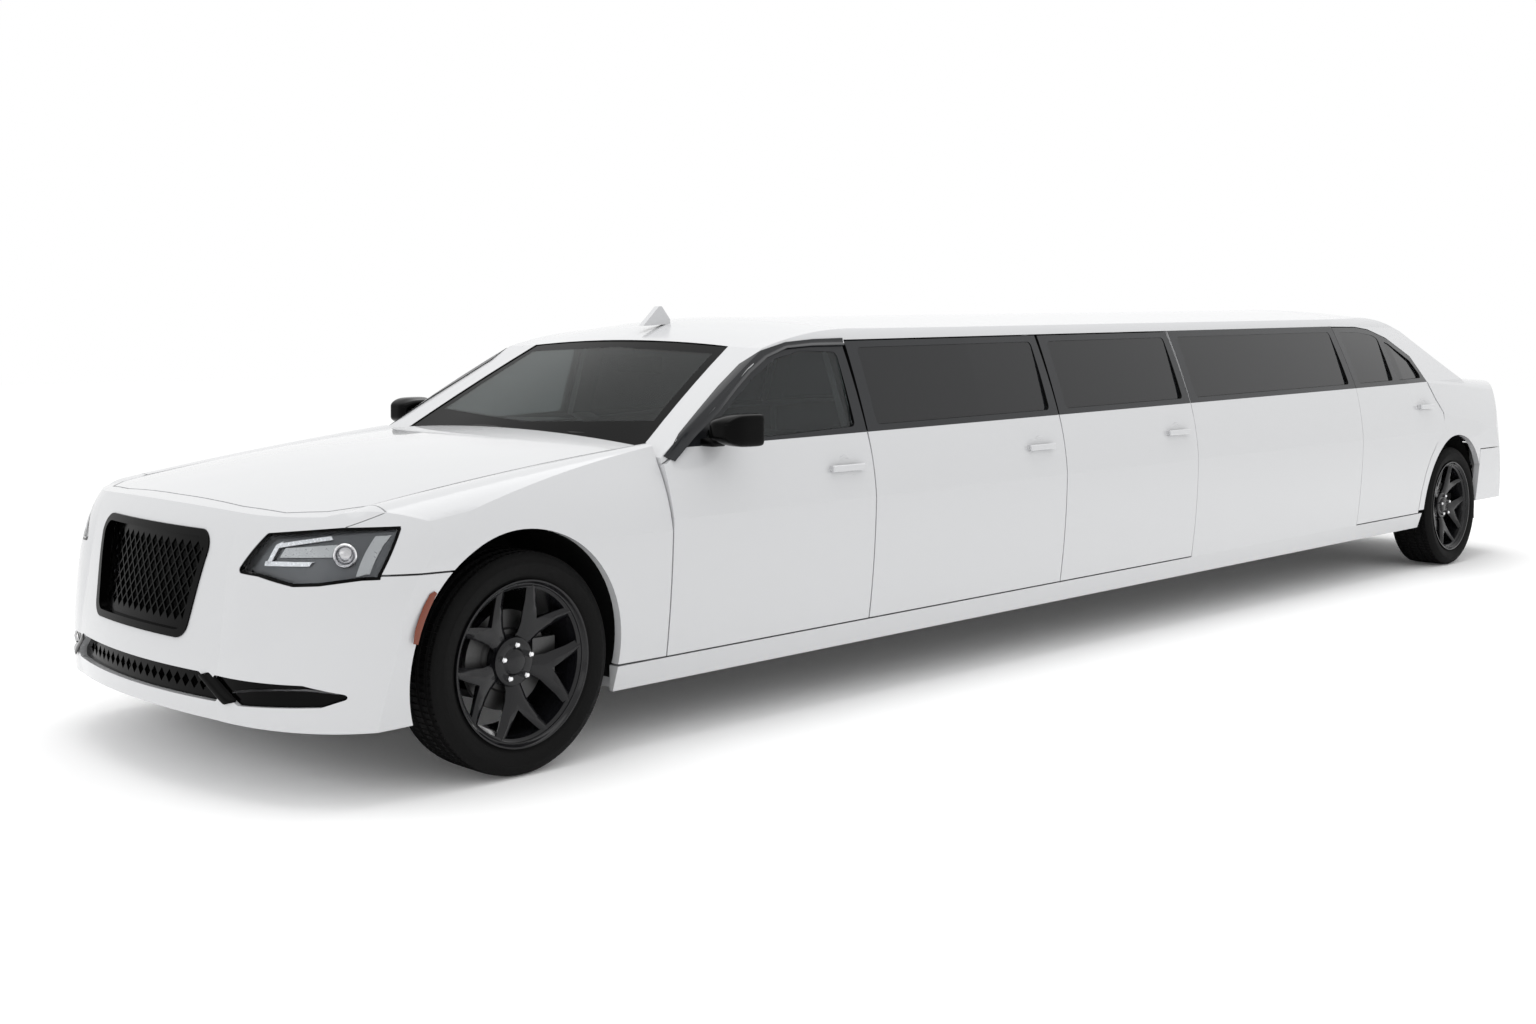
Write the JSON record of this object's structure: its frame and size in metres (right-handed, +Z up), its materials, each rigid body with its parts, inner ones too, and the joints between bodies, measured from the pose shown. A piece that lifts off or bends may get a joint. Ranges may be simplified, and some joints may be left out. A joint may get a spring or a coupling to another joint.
{
  "type": "stretch limousine",
  "caption": "Long white passenger limousine with hinged doors, hood and trunk lid, steered front wheels and a long dark window band.",
  "frame": {"origin": "on the ground, at the middle of the car's bounding box", "axes": "+Z up, the nose points to -Y, and the car's left side is at +X"},
  "size_m": [2.1352, 9.3305, 1.5797],
  "materials": {
    "body_paint": "gloss white paint",
    "black_plastic": "gloss black",
    "dark_plastic": "satin black",
    "clear_glass": "lightly tinted",
    "privacy_glass": "dark tint",
    "lamp_glass": "clear lens",
    "red_lens": "red lens",
    "wheel_paint": "gloss black paint",
    "tyre": "rubber",
    "chassis": "black underseal",
    "iron": "machined iron",
    "leather": "black hide"
  },
  "bodies": {
    "car_body": {"front_fenders": "body_paint", "front_bumper": "body_paint", "rear_bumper": "body_paint", "roof": "body_paint", "body_sides": "body_paint", "grilles": "black_plastic", "headlamps": "lamp_glass", "tail_lamps": "red_lens", "windshield": "clear_glass", "rear_window": "privacy_glass", "fixed_side_glass": "privacy_glass", "underbody": "chassis", "front_frame": "chassis", "trunk_floor": "chassis", "seats": "leather", "dashboard": "dark_plastic", "engine": "iron", "front_suspension": "chassis", "rear_axle": "chassis"},
    "hood": {"hood": "body_paint"},
    "trunk_lid": {"trunk_lid": "body_paint"},
    "front_door_left": {"front_door_left": "body_paint", "front_door_glass_left": "clear_glass", "door_mirror_left": "black_plastic"},
    "front_door_right": {"front_door_right": "body_paint", "front_door_glass_right": "clear_glass", "door_mirror_right": "black_plastic"},
    "second_door_left": {"second_door_left": "body_paint", "second_door_glass_left": "privacy_glass"},
    "second_door_right": {"second_door_right": "body_paint", "second_door_glass_right": "privacy_glass"},
    "third_door_left": {"third_door_left": "body_paint", "third_door_glass_left": "privacy_glass"},
    "third_door_right": {"third_door_right": "body_paint", "third_door_glass_right": "privacy_glass"},
    "rear_door_left": {"rear_door_left": "body_paint", "rear_door_glass_left": "privacy_glass"},
    "rear_door_right": {"rear_door_right": "body_paint", "rear_door_glass_right": "privacy_glass"},
    "knuckle_left": {"knuckle_left": "iron"},
    "wheel_front_left": {"wheel_front_left": "wheel_paint", "tyre_front_left": "tyre"},
    "wheel_rear_left": {"wheel_rear_left": "wheel_paint", "tyre_rear_left": "tyre"},
    "knuckle_right": {"knuckle_right": "iron"},
    "wheel_front_right": {"wheel_front_right": "wheel_paint", "tyre_front_right": "tyre"},
    "wheel_rear_right": {"wheel_rear_right": "wheel_paint", "tyre_rear_right": "tyre"}
  },
  "joints": [
    {"name": "front_door_left_hinge", "type": "hinge", "parent": "car_body", "child": "front_door_left", "pos_m": [0.951, -3.111, 0.7], "axis": [0, 0, -1], "range_deg": [0, 65]},
    {"name": "front_door_right_hinge", "type": "hinge", "parent": "car_body", "child": "front_door_right", "pos_m": [-0.951, -3.111, 0.7], "axis": [0, 0, 1], "range_deg": [0, 65]},
    {"name": "second_door_left_hinge", "type": "hinge", "parent": "car_body", "child": "second_door_left", "pos_m": [0.951, -2.017, 0.7], "axis": [0, 0, -1], "range_deg": [0, 65]},
    {"name": "second_door_right_hinge", "type": "hinge", "parent": "car_body", "child": "second_door_right", "pos_m": [-0.951, -2.017, 0.7], "axis": [0, 0, 1], "range_deg": [0, 65]},
    {"name": "third_door_left_hinge", "type": "hinge", "parent": "car_body", "child": "third_door_left", "pos_m": [0.951, -0.695, 0.7], "axis": [0, 0, -1], "range_deg": [0, 65]},
    {"name": "third_door_right_hinge", "type": "hinge", "parent": "car_body", "child": "third_door_right", "pos_m": [-0.951, -0.695, 0.7], "axis": [0, 0, 1], "range_deg": [0, 65]},
    {"name": "rear_door_left_hinge", "type": "hinge", "parent": "car_body", "child": "rear_door_left", "pos_m": [0.951, 2.263, 0.7], "axis": [0, 0, -1], "range_deg": [0, 65]},
    {"name": "rear_door_right_hinge", "type": "hinge", "parent": "car_body", "child": "rear_door_right", "pos_m": [-0.951, 2.263, 0.7], "axis": [0, 0, 1], "range_deg": [0, 65]},
    {"name": "hood_hinge", "type": "hinge", "parent": "car_body", "child": "hood", "pos_m": [0, -3.12, 1.068], "axis": [-1, 0, 0], "range_deg": [0, 50]},
    {"name": "trunk_lid_hinge", "type": "hinge", "parent": "car_body", "child": "trunk_lid", "pos_m": [0, 3.982, 1.161], "axis": [1, 0, 0], "range_deg": [0, 80]},
    {"name": "steer_left", "type": "hinge", "parent": "car_body", "child": "knuckle_left", "pos_m": [0.73, -3.74, 0.364], "axis": [0, 0, 1], "range_deg": [-35, 35]},
    {"name": "wheel_front_left_spin", "type": "hinge", "parent": "knuckle_left", "child": "wheel_front_left", "pos_m": [0.797, -3.74, 0.364], "axis": [1, 0, 0], "continuous": true},
    {"name": "wheel_rear_left_spin", "type": "hinge", "parent": "car_body", "child": "wheel_rear_left", "pos_m": [0.797, 3.59, 0.364], "axis": [1, 0, 0], "continuous": true},
    {"name": "steer_right", "type": "hinge", "parent": "car_body", "child": "knuckle_right", "pos_m": [-0.73, -3.74, 0.364], "axis": [0, 0, 1], "range_deg": [-35, 35]},
    {"name": "wheel_front_right_spin", "type": "hinge", "parent": "knuckle_right", "child": "wheel_front_right", "pos_m": [-0.797, -3.74, 0.364], "axis": [1, 0, 0], "continuous": true},
    {"name": "wheel_rear_right_spin", "type": "hinge", "parent": "car_body", "child": "wheel_rear_right", "pos_m": [-0.797, 3.59, 0.364], "axis": [1, 0, 0], "continuous": true}
  ],
  "couplings": [
    {"joint": "steer_right", "follows": "steer_left", "ratio": 1}
  ]
}
